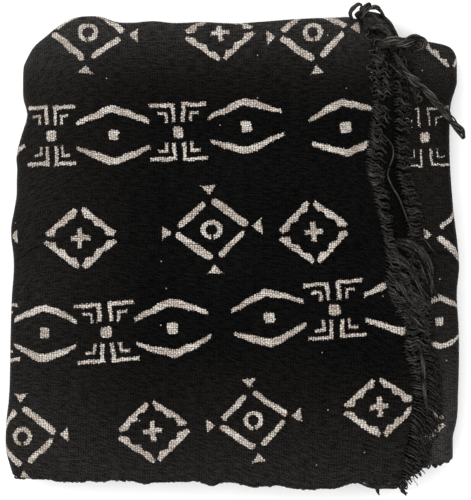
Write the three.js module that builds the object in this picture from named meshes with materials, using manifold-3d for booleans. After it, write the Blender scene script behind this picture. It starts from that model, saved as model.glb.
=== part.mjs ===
// Bogolan mud cloth, folded into a flat packet, in millimetres, +Z up.
// Eight handwoven strips sewn side by side, folded twice across them, then rolled up along them.
import * as THREE from "three";
import Module from "manifold-3d";

const wasm = await Module();
wasm.setup();
const { Manifold, Mesh: SolidMesh } = wasm;

// Driving sizes
const clothThickness = 1;
const gap = 0.3;
const stripWidth = 150;
const stripCount = 8;
const halfWidth = 138.6;
const halfHeight = 145;
const layersInBundle = 4;
const runsInPacket = 6;

// Sizes that follow
const pitch = clothThickness + gap;
const halfCloth = clothThickness / 2;
const halfBundle = (layersInBundle * pitch) / 2;
const packetHeight = runsInPacket * 2 * halfBundle;
const outerLayer = 1.5 * pitch;
const innerLayer = 0.5 * pitch;

// Weights and eased tables
const clamp01 = (v) => Math.min(1, Math.max(0, v));
const ease = (v) => clamp01(v) ** 2 * (3 - 2 * clamp01(v));
const lerp = THREE.MathUtils.lerp;

function between(rows, from, to, value, shape) {
  if (value <= rows[0][from]) return rows[0][to];
  const i = rows.findIndex((row) => row[from] >= value);
  if (i < 0) return rows[rows.length - 1][to];
  const [a, b] = [rows[i - 1], rows[i]];
  return lerp(a[to], b[to], shape((value - a[from]) / (b[from] - a[from])));
}
const eased = (rows, from, to, value) => between(rows, from, to, value, ease);
const straight = (rows, from, to, value) => between(rows, from, to, value, clamp01);

function jitter(a, b) {
  const v = Math.sin(a * 127.1 + b * 311.7) * 43758.5453;
  return 2 * (v - Math.floor(v)) - 1;
}

// Outline of the packet seen from above: its folded top edge and its selvedge
const farEdge = [
  { x: -139, y: 110 },
  { x: -128, y: 124 },
  { x: -117, y: 135 },
  { x: -106, y: 144 },
  { x: -88, y: 149 },
  { x: -69, y: 144 },
  { x: -50, y: 146 },
  { x: 76, y: 145 },
  { x: 96, y: 139 },
  { x: 112, y: 132 },
  { x: 139, y: 128 },
];
const nearEdge = [
  { x: -137, y: -139 },
  { x: -110, y: -142 },
  { x: -60, y: -141 },
  { x: -20, y: -144 },
  { x: 30, y: -143 },
  { x: 76, y: -141 },
  { x: 104, y: -142 },
  { x: 122, y: -134 },
  { x: 138, y: -130 },
];

// The two rounded side folds seen from above
const leftFold = [
  { y: -140, x: -136 },
  { y: -123, x: -139 },
  { y: -48, x: -138 },
  { y: -24, x: -137 },
  { y: 4, x: -139 },
  { y: 32, x: -136 },
  { y: 63, x: -132 },
  { y: 78, x: -128 },
  { y: 96, x: -130 },
];
const rightFold = [
  { y: -130, x: 135 },
  { y: -97, x: 138 },
  { y: -50, x: 140 },
  { y: 0, x: 139 },
  { y: 40, x: 135 },
  { y: 94, x: 135 },
  { y: 125, x: 137 },
];

// Where the weave of the outer end stops, row by row of the section, and how far the inner end runs past it
const weaveEnd = [
  { y: -145, x: 103, step: 11 },
  { y: -60, x: 105, step: 12 },
  { y: 0, x: 93, step: 13 },
  { y: 60, x: 84, step: 15 },
  { y: 120, x: 86, step: 16 },
  { y: 145, x: 75, step: 12 },
];

// How each layer's cut end lies against the first one's
const layerStagger = [
  { layer: 1, x: 0 },
  { layer: 2, x: 2.5 },
  { layer: 3, x: 1 },
  { layer: 4, x: 3.5 },
];

// Shape of the packet: its lower runs a little set back, rounded down at the far edge, gently uneven in height
const sideReach = 90;
const lowerSetBack = { belowLevel: 0.66, over: 0.3, far: 5, near: 2 };
const rightSetBack = { belowLevel: 0.8, over: 0.3, fromX: 70, overX: 40, far: 3 };
const farRound = { reach: 10, drop: 0.2 };
const swells = [
  { size: 0.02, perX: 0, perY: 1 / 31, phase: 0.6 },
  { size: 0.015, perX: 1 / 27, perY: 1 / 60, phase: 0 },
];

function packetPoint(x, y, z) {
  const level = z / packetHeight;
  const left = ease((sideReach - halfWidth - x) / sideReach);
  const right = ease((x - halfWidth + sideReach) / sideReach);
  const px =
    x +
    left * (eased(leftFold, "y", "x", y) + halfWidth) +
    right * (eased(rightFold, "y", "x", y) - halfWidth);
  const low = ease((lowerSetBack.belowLevel - level) / lowerSetBack.over);
  const lowRight =
    ease((rightSetBack.belowLevel - level) / rightSetBack.over) *
    ease((px - rightSetBack.fromX) / rightSetBack.overX);
  const far = eased(farEdge, "x", "y", px) - low * lowerSetBack.far - lowRight * rightSetBack.far;
  const near = eased(nearEdge, "x", "y", px) + low * lowerSetBack.near;
  const py = lerp(near, far, (y + halfHeight) / (2 * halfHeight));
  const toFar = clamp01(1 - (far - py) / farRound.reach);
  const wave = swells.reduce(
    (sum, s) => sum + s.size * Math.sin(px * s.perX + py * s.perY + s.phase),
    0,
  );
  return new THREE.Vector3(px, py, z * (1 + wave - farRound.drop * toFar ** 2));
}

// Route of the four-layer bundle, seen from its near end, as stations with a normal
const gridX = [-98, -50, 15, 70];
const pastEnd = 100;
const sideSteps = 5;
const leftSquare = 0.62;
const rightSquare = 0.75;
const middleInset = 5;
const signedPower = (v, power) => Math.sign(v) * Math.abs(v) ** power;
const turn = (angle) => ({ nx: Math.cos(angle), nz: Math.sin(angle) });

function run(z, up, xs) {
  return xs.map((x) => ({ x, z, nx: 0, nz: up }));
}

// A fold is half a rounded square: a power of 1 gives a half circle, less gives squarer corners
function fold(x, z, radius, from, to, facing, power = 1) {
  return Array.from({ length: sideSteps + 1 }, (_, i) => {
    const { nx, nz } = turn(lerp(from, to, i / sideSteps));
    const normal = new THREE.Vector2(signedPower(nx, 2 - power), signedPower(nz, 2 - power));
    normal.normalize().multiplyScalar(facing);
    const [dx, dz] = [radius * signedPower(nx, power), radius * signedPower(nz, power)];
    return { x: x + dx, z: z + dz, nx: normal.x, nz: normal.y };
  });
}

function bundleRoute() {
  const leftX = -halfWidth + packetHeight / 2;
  const rightX = halfWidth - packetHeight / 3;
  const middleX = leftX + middleInset;
  const level = (n) => (2 * n - 1) * halfBundle;
  const [up, down, toLeft] = [Math.PI / 2, -Math.PI / 2, Math.PI * 1.5];
  const backX = [...gridX].reverse();
  return [
    { ...run(level(6), 1, [0])[0], end: "outer" },
    ...run(level(6), 1, backX),
    ...fold(leftX, packetHeight / 2, 5 * halfBundle, up, toLeft, 1, leftSquare),
    ...run(level(1), -1, [...gridX, pastEnd]),
    ...fold(rightX, packetHeight / 3, 3 * halfBundle, down, up, 1, rightSquare),
    ...run(level(4), 1, [pastEnd, ...backX]),
    ...fold(middleX, packetHeight / 2, halfBundle, up, toLeft, 1),
    ...run(level(3), -1, [...gridX, pastEnd]),
    ...fold(rightX, packetHeight / 3, halfBundle, up, down, -1),
    ...run(level(2), 1, [pastEnd, ...backX]),
    ...fold(leftX, packetHeight / 2, 3 * halfBundle, toLeft, up, -1),
    ...run(level(5), -1, gridX),
    { ...run(level(5), -1, [0])[0], end: "inner" },
  ];
}

function endX(end, y, layer) {
  const step = end === "inner" ? straight(weaveEnd, "y", "step", y) : 0;
  return straight(weaveEnd, "y", "x", y) + step - straight(layerStagger, "layer", "x", layer);
}

// Section of the bundle: four layers back and forth, in y and in height within the bundle
const gridY = weaveEnd.slice(1, -1).map((row) => row.y);
const farY = halfHeight - outerLayer - halfCloth;
const nearY = -halfHeight + innerLayer + halfCloth;

function bundleSection() {
  const points = [];
  const flat = (ys, o, side, layer) =>
    ys.forEach((y) => points.push({ y, o, ny: 0, no: side, layer }));
  const round = (y, o, radius, { steps, start, facing, from, to }) => {
    for (let i = 1; i < steps; i++) {
      const angle = (Math.PI * i) / steps;
      const ny = Math.sign(y) * Math.sin(angle);
      const no = start * Math.cos(angle);
      const layer = lerp(from, to, i / steps);
      points.push({ y: y + radius * ny, o: o + radius * no, ny: facing * ny, no: facing * no, layer });
    }
  };
  const back = [...gridY].reverse();
  flat([-halfHeight, ...gridY, farY], outerLayer, 1, 1);
  round(farY, 0, outerLayer, { steps: 4, start: 1, facing: 1, from: 1, to: 4 });
  flat([farY, ...back, nearY], -outerLayer, -1, 4);
  round(nearY, -pitch, innerLayer, { steps: 3, start: -1, facing: 1, from: 4, to: 3 });
  flat([nearY, ...gridY, farY], -innerLayer, 1, 3);
  round(farY, 0, innerLayer, { steps: 3, start: -1, facing: -1, from: 3, to: 2 });
  flat([farY, ...back, -halfHeight + 1], innerLayer, -1, 2);
  return points;
}

// Running width of cloth at each point of the section
function withWidth(points) {
  let width = 0;
  return points.map((p, i) => {
    if (i) width += Math.hypot(p.y - points[i - 1].y, p.o - points[i - 1].o);
    return { ...p, width };
  });
}

function pointAt(points, width) {
  const i = Math.max(1, points.findIndex((p) => p.width >= width));
  const [from, to] = [points[i - 1], points[i]];
  return { from, to, share: (width - from.width) / (to.width - from.width) };
}

const route = bundleRoute();
const section = withWidth(bundleSection());
const clothWidth = section[section.length - 1].width;

// The first two strips are a strip wide, the rest share what is left
const narrowStrip = (clothWidth - 2 * stripWidth) / (stripCount - 2);
const seamAt = (n) => (n <= 2 ? n * stripWidth : 2 * stripWidth + (n - 2) * narrowStrip);

function stripSection(n) {
  const from = seamAt(n - 1) + (n > 1 ? gap / 2 : 0);
  const to = seamAt(n) - (n < stripCount ? gap / 2 : 0);
  const inner = section.filter((p) => p.width > from + 1 && p.width < to - 1);
  return [pointAt(section, from), ...inner, pointAt(section, to)];
}

function placed(station, p, side) {
  if (p.from) return placed(station, p.from, side).lerp(placed(station, p.to, side), p.share);
  const y = p.y + side * halfCloth * p.ny;
  const o = p.o + side * halfCloth * p.no;
  const x = station.end ? endX(station.end, y, p.layer) : station.x + o * station.nx;
  return packetPoint(x, y, station.z + o * station.nz);
}

// Every facet is split along the same diagonal in space, so that neighbouring layers never cross
const diagonalTilt = 0.37;

function rising(from, to) {
  return (to.x - from.x + diagonalTilt * (to.z - from.z)) * (to.y - from.y);
}

// A closed skin over rings of equal length
function skin(rings) {
  const vertices = rings.flat();
  const positions = vertices.flatMap((v) => [v.x, v.y, v.z]);
  const count = rings[0].length;
  const triangles = [];
  const at = (r, i) => r * count + (i % count);
  for (let r = 0; r + 1 < rings.length; r++) {
    for (let i = 0; i < count; i++) {
      const [a, b, c, d] = [at(r, i), at(r, i + 1), at(r + 1, i + 1), at(r + 1, i)];
      const split = rising(vertices[a], vertices[c]) > rising(vertices[b], vertices[d]);
      triangles.push(...(split ? [a, b, c, a, c, d] : [a, b, d, b, c, d]));
    }
  }
  return { positions, triangles, count, rings: rings.length };
}

function solidOf({ positions, triangles }) {
  const build = (tris) =>
    Manifold.ofMesh(
      new SolidMesh({
        numProp: 3,
        vertProperties: new Float32Array(positions),
        triVerts: new Uint32Array(tris),
      }),
    );
  const solid = build(triangles);
  if (solid.volume() > 0) return solid;
  const turned = [];
  for (let i = 0; i < triangles.length; i += 3) {
    turned.push(triangles[i], triangles[i + 2], triangles[i + 1]);
  }
  return build(turned);
}

// A band of cloth: each ring runs out along one face and back along the other
function band(stations, points) {
  const rings = stations.map((station) => [
    ...points.map((p) => placed(station, p, 1)),
    ...[...points].reverse().map((p) => placed(station, p, -1)),
  ]);
  const body = skin(rings);
  const last = (body.rings - 1) * body.count;
  for (let i = 0; i + 1 < points.length; i++) {
    const j = body.count - 1 - i;
    body.triangles.push(i, j, i + 1, i + 1, j, j - 1);
    body.triangles.push(last + i, last + i + 1, last + j, last + i + 1, last + j - 1, last + j);
  }
  return solidOf(body);
}

// Fringe: for each end and layer, a narrow backing with its strands
const backing = { depth: 3, edge: 4 };
const strand = { root: 0.33, tip: 0.3, sides: 3, steps: 2, least: 8, spread: 5, sway: 1.1, edge: 2 };

// How far the strands lean towards the near edge, in degrees, place by place along the backing
const strandLean = [
  { y: -145, lean: 0 },
  { y: -128, lean: 0 },
  { y: -110, lean: 45 },
  { y: -85, lean: 42 },
  { y: -58, lean: 20 },
  { y: -27, lean: 36 },
  { y: -11, lean: 40 },
  { y: 12, lean: 15 },
  { y: 51, lean: 4 },
  { y: 90, lean: 0 },
];
const fringes = [
  { end: "outer", layer: 1, strands: 80, radius: 0.7 },
  { end: "outer", layer: 2, strands: 12, radius: 0.5 },
  { end: "outer", layer: 3, strands: 12, radius: 0.5 },
  { end: "outer", layer: 4, strands: 16, radius: 0.5 },
  { end: "inner", layer: 1, strands: 12, radius: 0.5 },
  { end: "inner", layer: 2, strands: 12, radius: 0.5 },
  { end: "inner", layer: 3, strands: 12, radius: 0.5 },
  { end: "inner", layer: 4, strands: 80, radius: 0.7 },
];

// Locks that stand out of the outer end's first layer, each from its own place y along the backing
const locks = [
  {
    name: "twisted",
    y: 119,
    points: [
      { x: 96, y: 117, z: 31, r: 1.5 },
      { x: 104, y: 112, z: 31, r: 1.8 },
      { x: 113, y: 104, z: 29, r: 2 },
      { x: 122, y: 95, z: 26, r: 2.2 },
      { x: 132, y: 83, z: 24, r: 2.6 },
      { x: 139, y: 74, z: 22, r: 2.2 },
      { x: 143.5, y: 68, z: 20, r: 0.8 },
    ],
  },
  {
    name: "roll",
    y: 129,
    points: [
      { x: 96, y: 129, z: 31, r: 2 },
      { x: 108, y: 131, z: 31.5, r: 3 },
      { x: 118, y: 130, z: 30, r: 2.4 },
      { x: 121, y: 127, z: 28, r: 1 },
    ],
  },
  {
    name: "claw",
    y: 134,
    points: [
      { x: 90, y: 141, z: 28, r: 1.6 },
      { x: 97, y: 142, z: 28, r: 2 },
      { x: 102, y: 137, z: 28, r: 1 },
    ],
  },
  {
    name: "hook",
    y: 137.5,
    points: [
      { x: 86, y: 148, z: 25, r: 1 },
      { x: 88, y: 153, z: 23, r: 1.1 },
      { x: 92, y: 152, z: 22, r: 0.7 },
    ],
  },
  {
    name: "loop",
    y: 140.5,
    points: [
      { x: 77, y: 148, z: 25, r: 1 },
      { x: 76, y: 154, z: 20, r: 1.1 },
      { x: 79, y: 156, z: 20, r: 0.8 },
    ],
  },
  {
    name: "tuft",
    y: -139,
    points: [
      { x: 108, y: -147, z: 24, r: 1.2 },
      { x: 107, y: -151, z: 21, r: 1.4 },
      { x: 109, y: -153, z: 20, r: 0.7 },
    ],
  },
];
const lockRoot = 0.5;
const lockRoom = 4;

function tube(points, radii, sides) {
  const rings = points.map((p, i) => {
    const ahead = points[Math.min(i + 1, points.length - 1)];
    const behind = points[Math.max(i - 1, 0)];
    const along = ahead.clone().sub(behind).normalize();
    const side = new THREE.Vector3(0, 0, 1).cross(along).normalize();
    const up = along.clone().cross(side);
    return Array.from({ length: sides }, (_, k) => {
      const { nx, nz } = turn((2 * Math.PI * k) / sides + Math.PI / 2);
      return p.clone().addScaledVector(side, nx * radii[i]).addScaledVector(up, nz * radii[i]);
    });
  });
  const body = skin(rings);
  const last = (body.rings - 1) * sides;
  for (let k = 1; k + 1 < sides; k++) {
    body.triangles.push(0, k + 1, k, last, last + k, last + k + 1);
  }
  return solidOf(body);
}

function layerPoint(end, layer, x, y, lift) {
  const station = end === "outer" ? route[0] : route[route.length - 1];
  const o = { 1: outerLayer, 2: innerLayer, 3: -innerLayer, 4: -outerLayer }[layer];
  return packetPoint(x, y, station.z + o * station.nz + lift);
}

// A point on the flat facets between two rows of the section
function facetPoint(end, layer, fromEnd, y, lift = 0) {
  const rows = [-halfHeight, ...gridY, farY];
  const i = Math.max(1, rows.findIndex((row) => row >= y));
  const [a, b] = [rows[i - 1], rows[i]];
  const at = (row) => layerPoint(end, layer, endX(end, row, layer) + fromEnd, row, lift);
  return at(a).lerp(at(b), (y - a) / (b - a));
}

function backingSolid({ end, layer }) {
  const ends = halfHeight - backing.edge;
  const [near, far] = [gap, gap + backing.depth];
  const rings = [-ends, ...gridY, ends].map((y) => [
    facetPoint(end, layer, near, y, halfCloth),
    facetPoint(end, layer, far, y, halfCloth),
    facetPoint(end, layer, far, y, -halfCloth),
    facetPoint(end, layer, near, y, -halfCloth),
  ]);
  const body = skin(rings);
  const last = (body.rings - 1) * 4;
  body.triangles.push(0, 2, 1, 0, 3, 2, last, last + 1, last + 2, last, last + 2, last + 3);
  return solidOf(body);
}

function strandSolid({ end, layer, radius }, y, seed) {
  const length = backing.depth / 2 + strand.least + strand.spread * Math.abs(jitter(seed, layer));
  const { nx: out, nz: down } = turn(THREE.MathUtils.degToRad(eased(strandLean, "y", "lean", y)));
  const points = Array.from({ length: strand.steps + 1 }, (_, i) => {
    const u = i / strand.steps;
    const sway = u * strand.sway * jitter(seed, i);
    const fromEnd = gap + backing.depth / 2 + length * u * out;
    return facetPoint(end, layer, fromEnd, y + sway - length * u * down);
  });
  return tube(points, [strand.root, radius, strand.tip], strand.sides);
}

function lockSolid(lock) {
  const root = facetPoint("outer", 1, backing.depth + 2 * gap + lockRoot, lock.y);
  const points = [root, ...lock.points.map((p) => new THREE.Vector3(p.x, p.y, p.z))];
  return tube(points, [lockRoot, ...lock.points.map((p) => p.r)], 4);
}

function fringeSolid(fringe) {
  const span = 2 * (halfHeight - backing.edge - strand.edge);
  const parts = [backingSolid(fringe)];
  for (let i = 0; i < fringe.strands; i++) {
    const y = span * ((i + 0.5 + 0.25 * jitter(i, fringe.layer)) / fringe.strands - 0.5);
    const crowded = locks.some((lock) => Math.abs(lock.y - y) < lockRoom);
    if (fringe.end === "inner" || fringe.layer > 1 || !crowded) parts.push(strandSolid(fringe, y, i));
  }
  return Manifold.union(parts);
}

// Materials and meshes
const clothFinish = new THREE.MeshStandardMaterial({ color: 0x171514, roughness: 0.95, metalness: 0 });
const yarnFinish = new THREE.MeshStandardMaterial({ color: 0x2a2725, roughness: 0.9, metalness: 0 });

function meshOf(name, solid, finish) {
  const { numProp, vertProperties, triVerts, numVert } = solid.getMesh();
  const positions = new Float32Array(numVert * 3);
  for (let i = 0; i < numVert; i++) {
    positions.set(vertProperties.subarray(i * numProp, i * numProp + 3), 3 * i);
  }
  const geometry = new THREE.BufferGeometry();
  geometry.setAttribute("position", new THREE.BufferAttribute(positions, 3));
  geometry.setIndex(new THREE.BufferAttribute(triVerts, 1));
  const mesh = new THREE.Mesh(geometry, finish);
  mesh.name = name;
  return mesh;
}

const packet = new THREE.Group();
for (let n = 1; n <= stripCount; n++) {
  packet.add(meshOf("strip_" + n, band(route, stripSection(n)), clothFinish));
}
for (const fringe of fringes) {
  packet.add(meshOf(`fringe_${fringe.end}_${fringe.layer}`, fringeSolid(fringe), yarnFinish));
}

for (const lock of locks) packet.add(meshOf("lock_" + lock.name, lockSolid(lock), yarnFinish));

// The packet stands on the origin, centred under its bounding box
const box = new THREE.Box3().setFromObject(packet);
const middle = box.getCenter(new THREE.Vector3());
packet.position.set(-middle.x, -middle.y, -box.min.z);

export default packet;
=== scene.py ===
import bpy
import math
import numpy as np
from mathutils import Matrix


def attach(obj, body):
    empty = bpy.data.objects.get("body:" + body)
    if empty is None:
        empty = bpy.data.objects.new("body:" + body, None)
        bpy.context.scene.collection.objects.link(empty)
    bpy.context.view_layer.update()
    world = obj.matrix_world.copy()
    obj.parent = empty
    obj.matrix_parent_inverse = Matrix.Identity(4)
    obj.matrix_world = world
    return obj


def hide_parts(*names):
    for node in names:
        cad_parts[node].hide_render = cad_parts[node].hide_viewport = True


# A folded bogolan mud cloth, seen from straight above. Shapes are worked out in millimetres.
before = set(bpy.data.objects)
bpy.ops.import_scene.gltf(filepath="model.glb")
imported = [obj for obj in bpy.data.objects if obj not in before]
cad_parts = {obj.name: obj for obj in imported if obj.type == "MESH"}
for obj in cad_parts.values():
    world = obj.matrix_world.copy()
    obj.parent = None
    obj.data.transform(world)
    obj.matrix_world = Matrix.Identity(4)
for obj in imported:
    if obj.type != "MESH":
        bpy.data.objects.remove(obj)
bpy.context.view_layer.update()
dice = np.random.default_rng(64)
print("frame loaded,", len(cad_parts), "solids")

# the view
view = {
    "pixel": 0.62,             # millimetres of cloth in one pixel, on the upper face
    "frame": (471, 500),
    "height": 1300.0,          # camera above the floor
    "upperFace": 31.0,
    "foldZero": (233.5, 252),  # the pixel of the folding frame's origin
    "shift": np.array([-2.9262, -1.5853, -0.1272]),  # folding frame to part frame
}


def placeOfPixel(px, py):
    zero = view["foldZero"]
    return np.array([(px - zero[0]) * view["pixel"], (zero[1] - py) * view["pixel"]])


middleOfFrame = placeOfPixel(view["frame"][0] / 2, view["frame"][1] / 2) + view["shift"][:2]


# where a point of the part frame is seen, in pixels
def seenAt(points):
    share = (view["height"] - view["upperFace"]) / (view["height"] - points[..., 2])
    offset = (points[..., :2] - middleOfFrame) * share[..., None] / view["pixel"]
    return np.stack([view["frame"][0] / 2 + offset[..., 0], view["frame"][1] / 2 - offset[..., 1]], -1)


def ease(v):
    v = np.clip(v, 0, 1)
    return v * v * (3 - 2 * v)


# a smooth line through the rows (from, to) of a table: cubic pieces whose slopes come from the neighbours
def smoothTable(rows, value):
    xs, ys = np.array(rows, float).T
    slopes = np.gradient(ys, xs)
    value = np.clip(value, xs[0], xs[-1])
    i = np.clip(np.searchsorted(xs, value) - 1, 0, len(xs) - 2)
    width = xs[i + 1] - xs[i]
    t = (value - xs[i]) / width
    start = (1 + 2 * t) * (1 - t) ** 2 * ys[i] + t * (1 - t) ** 2 * width * slopes[i]
    return start + t * t * (3 - 2 * t) * ys[i + 1] + t * t * (t - 1) * width * slopes[i + 1]


# slow waves: a sum of sines in x and y with seeded directions, lengths and phases, about 1 high
def waves(x, y, lengths, seed):
    local = np.random.default_rng(seed)
    total = 0
    for length in lengths:
        turn, phase = local.uniform(0, math.pi), local.uniform(0, 6.28)
        total = total + np.sin(2 * math.pi * (x * math.cos(turn) + y * math.sin(turn)) / length + phase)
    return total / math.sqrt(len(lengths))


# the packet: how a flat stack of runs is bent into the outline of the photo
packet = {
    "cloth": 1.0,
    "halfWidth": 138.6,
    "halfHeight": 145.0,
    "thick": 31.2,
    "sideReach": 90.0,         # the two side folds are bent within this width
    # the outline of the upper face: y of the far and near edge at each x, and x of each side fold at each y
    "farEdge": [(-139, 108), (-130, 120), (-126, 126.5), (-117, 134.8), (-108, 142), (-99, 146.3),
                (-90, 147.3), (-82, 146.8), (-74, 143.8), (-64, 143.2), (-50, 144.2), (-38, 143),
                (-20, 143.6), (0, 142.8), (20, 144), (41, 145.6), (62, 146.4), (76, 146.4), (88, 141.8),
                (98, 138.5), (112, 135.5), (122, 134.4), (139, 131)],
    "nearEdge": [(-139, -138.3), (-133, -139.8), (-126, -139.6), (-118, -140.2), (-110, -141.8),
                 (-85, -141.7), (-60, -142.3), (-20, -143.3), (0, -143.8), (20, -144.8), (34, -144.8),
                 (46, -147.4), (56, -147.2), (66, -145), (76, -142.8), (104, -141.6), (122, -133.4),
                 (138, -130.8)],
    "leftFold": [(-145, -138.6), (-139, -140.2), (-130, -142.2), (-112, -142.6), (-90, -140.8),
                 (-48, -139.8), (-25, -139.2), (-15, -138.7), (-5, -137.9), (5, -137.6), (15, -138.2),
                 (24, -139.2), (34, -139.2), (44, -137.5), (54, -136), (64, -135.8), (74, -135.6),
                 (84, -136), (94, -133.4), (104, -129.4), (114, -130.2), (124, -132)],
    "rightFold": [(-130, 138.2), (-120, 140.4), (-97, 141.6), (-50, 142), (-20, 140.8), (0, 142.2),
                  (14, 141.2), (40, 138.4), (94, 136.2), (110, 137), (125, 140.8)],
    # layers under a level lie further in: by how much at the far edge, and what share of it at the near edge
    "lowerSetBack": {"below": 0.66, "over": 0.3, "far": 5, "near": 0.4},
    "rightSetBack": {"below": 0.8, "over": 0.3, "fromX": 70, "overX": 40, "far": 3},
    "farRound": {"reach": 10.0, "drop": 0.2},
    "rise": {"up": (0.02, 31, 0.6), "across": (0.015, 27, 60)},
    "waves": [{"lengths": [150, 96, 70, 52], "height": 0.55, "seed": 5},
              {"lengths": [31, 24, 19, 15], "height": 0.13, "seed": 9}],
    # between these x the lower layers show past the near edge
    "peek": {"from": 72.0, "to": 114.0, "flat": 1.6, "depth": 2.6, "level": 0.82, "lower": 0.67},
    "slant": {"slope": -0.0306, "zero": -37.0, "middle": 5.0, "reach": 110.0},
}


# x moves with the fold tables, the more the nearer a side; y is shared out between the near and far tables,
# less for low layers; z is scaled by two slow sines, eased down along the far edge and swollen by waves
def bendPacket(x, y, z):
    level = z / packet["thick"]
    half, reach = packet["halfWidth"], packet["sideReach"]
    left, right = ease((reach - half - x) / reach), ease((x - half + reach) / reach)
    leftShift = smoothTable(packet["leftFold"], y) + half
    rightShift = smoothTable(packet["rightFold"], y) - half
    px = x + left * leftShift + right * rightShift
    low, side = packet["lowerSetBack"], packet["rightSetBack"]
    setBack = ease((low["below"] - level) / low["over"]) * low["far"]
    sideShare = ease((side["below"] - level) / side["over"]) * ease((px - side["fromX"]) / side["overX"])
    far = smoothTable(packet["farEdge"], px) - setBack - sideShare * side["far"]
    peek, slant = packet["peek"], packet["slant"]
    middle = (peek["from"] + peek["to"]) / 2
    inPeek = ease(peek["flat"] * (1 - abs(px - middle) / (middle - peek["from"]))) * (level < peek["level"])
    outBy = peek["depth"] * inPeek * (1 + (level < peek["lower"]))
    near = smoothTable(packet["nearEdge"], px) + low["near"] * setBack * (1 - inPeek) - outBy
    py = near + (far - near) * (y + packet["halfHeight"]) / (2 * packet["halfHeight"])
    py = py + slant["slope"] * (px - slant["zero"]) * ease(1 - abs(y - slant["middle"]) / slant["reach"])
    toFar = np.clip(1 - (far - py) / packet["farRound"]["reach"], 0, 1)
    size, length, start = packet["rise"]["up"]
    high = 1 + size * np.sin(py / length + start)
    size, length, lean = packet["rise"]["across"]
    high = high + size * np.sin(px / length + py / lean) - packet["farRound"]["drop"] * toFar ** 2
    lift = sum(kind["height"] * waves(px, py, kind["lengths"], kind["seed"]) for kind in packet["waves"])
    return np.stack(np.broadcast_arrays(px, py, z * high + level * lift), -1) + view["shift"]


# the route of the four-layer bundle along the cloth, and the section across it
route = {
    "halfBundle": 2.6,
    "leftSquare": 0.62,  # how square the two side folds are: 1 is a half circle
    "rightSquare": 0.75,
    "middleInset": 5,
    # x where the top, right and inner runs end, and how far apart the stations of each kind of run lie
    "ends": {"top": 100, "right": 70, "inner": 60},
    "spacing": {"under": 1.6, "fold": 0.5, "sideFold": 0.4, "smallFold": 0.2},
    "endGrip": 60.0,     # from here the run is stretched to the uneven cut end
    "weaveEnd": [(-150, 104), (-145, 104.6), (-130, 106), (-112, 107.6), (-92, 108.6), (-74, 107),
                 (-58, 104), (-45, 105), (-31, 99.4), (-14, 93.4), (0, 93.4), (14, 92.6), (29, 89.6),
                 (42, 86.6), (54, 83.4), (70, 84.8), (88, 87.2), (112, 87.2), (126, 86), (138, 82.2),
                 (145, 74), (150, 72)],
    "innerStep": [(-145, 11), (-60, 13), (-20, 15), (4, 16), (17, 18.5), (32, 21.5), (45, 23.5),
                  (60, 23), (88, 19), (120, 17), (145, 13)],
    "stagger": {1: 0, 2: 2.5, 3: 1, 4: 3.5},
}


# stations are rows of x, z and the way the upper face looks; a straight run keeps z at an odd half bundle
def straightRun(fromX, toX, level, up, step):
    count = max(2, int(abs(toX - fromX) / step))
    xs = np.linspace(fromX, toX, count, endpoint=False)
    z = (2 * level - 1) * route["halfBundle"]
    return np.stack([xs, np.full(count, z), np.zeros(count), np.full(count, up)], -1)


def signedPower(v, power):
    return np.sign(v) * abs(v) ** power


# a fold is half a rounded square in x and z: a power of 1 gives a half circle, less gives squarer corners
def foldRun(x, z, radius, fromAngle, toAngle, facing, step, power=1.0):
    count = max(4, int(abs(toAngle - fromAngle) * max(radius, 2.5) / step))
    angle = np.linspace(fromAngle, toAngle, count, endpoint=False)
    c, s = np.cos(angle), np.sin(angle)
    nx, nz = signedPower(c, 2 - power), signedPower(s, 2 - power)
    size = np.hypot(nx, nz)
    return np.stack([x + radius * signedPower(c, power), z + radius * signedPower(s, power),
                     facing * nx / size, facing * nz / size], -1)


# over the top, round the left fold, back underneath, round the right fold, and on through the inside to the
# inner end, which lies just below the outer one
def bundleRoute(fine, hidden):
    half, thick, b = packet["halfWidth"], packet["thick"], route["halfBundle"]
    leftX, rightX = -half + thick / 2, half - thick / 3
    middleX = leftX + route["middleInset"]
    up, down, toLeft = math.pi / 2, -math.pi / 2, math.pi * 1.5
    ends, apart = route["ends"], route["spacing"]
    parts = [
        ("top", straightRun(ends["top"], leftX, 6, 1, fine)),
        ("leftFold", foldRun(leftX, thick / 2, 5 * b, up, toLeft, 1, fine * apart["fold"],
                             route["leftSquare"])),
        ("under", straightRun(leftX, rightX, 1, -1, apart["under"] * fine)),
        ("rightFold", foldRun(rightX, thick / 3, 3 * b, down, up, 1, fine * apart["sideFold"],
                              route["rightSquare"])),
        ("right", straightRun(rightX, ends["right"], 4, 1, fine)),
        ("inside", straightRun(ends["right"], middleX, 4, 1, hidden)),
        ("inside", foldRun(middleX, thick / 2, b, up, toLeft, 1, hidden * apart["smallFold"])),
        ("inside", straightRun(middleX, rightX, 3, -1, hidden)),
        ("inside", foldRun(rightX, thick / 3, b, up, down, -1, hidden * apart["smallFold"])),
        ("inside", straightRun(rightX, leftX, 2, 1, hidden)),
        ("inside", foldRun(leftX, thick / 2, 3 * b, toLeft, up, -1, hidden * apart["sideFold"])),
        ("inside", straightRun(leftX, ends["inner"], 5, -1, hidden)),
        ("inner", straightRun(ends["inner"], ends["top"], 5, -1, fine)),
        ("inner", np.array([[ends["top"], 9 * b, 0, -1.0]])),
    ]
    stations = np.concatenate([p for _, p in parts])
    names = np.concatenate([[name] * len(p) for name, p in parts])
    return stations, names


# x where the weave of one layer ends: a smooth table over y, a step for the inner end and a small stagger
def endOfCloth(end, y, layer):
    stagger = np.interp(layer, list(route["stagger"]), list(route["stagger"].values()))
    step = np.interp(y, *zip(*route["innerStep"])) if end == "inner" else 0
    return smoothTable(route["weaveEnd"], y) + step - stagger


section = {"outer": 1.95, "inner": 0.65, "farY": 142.55, "nearY": -143.85, "startY": -145.0, "lastY": -144.0}


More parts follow.
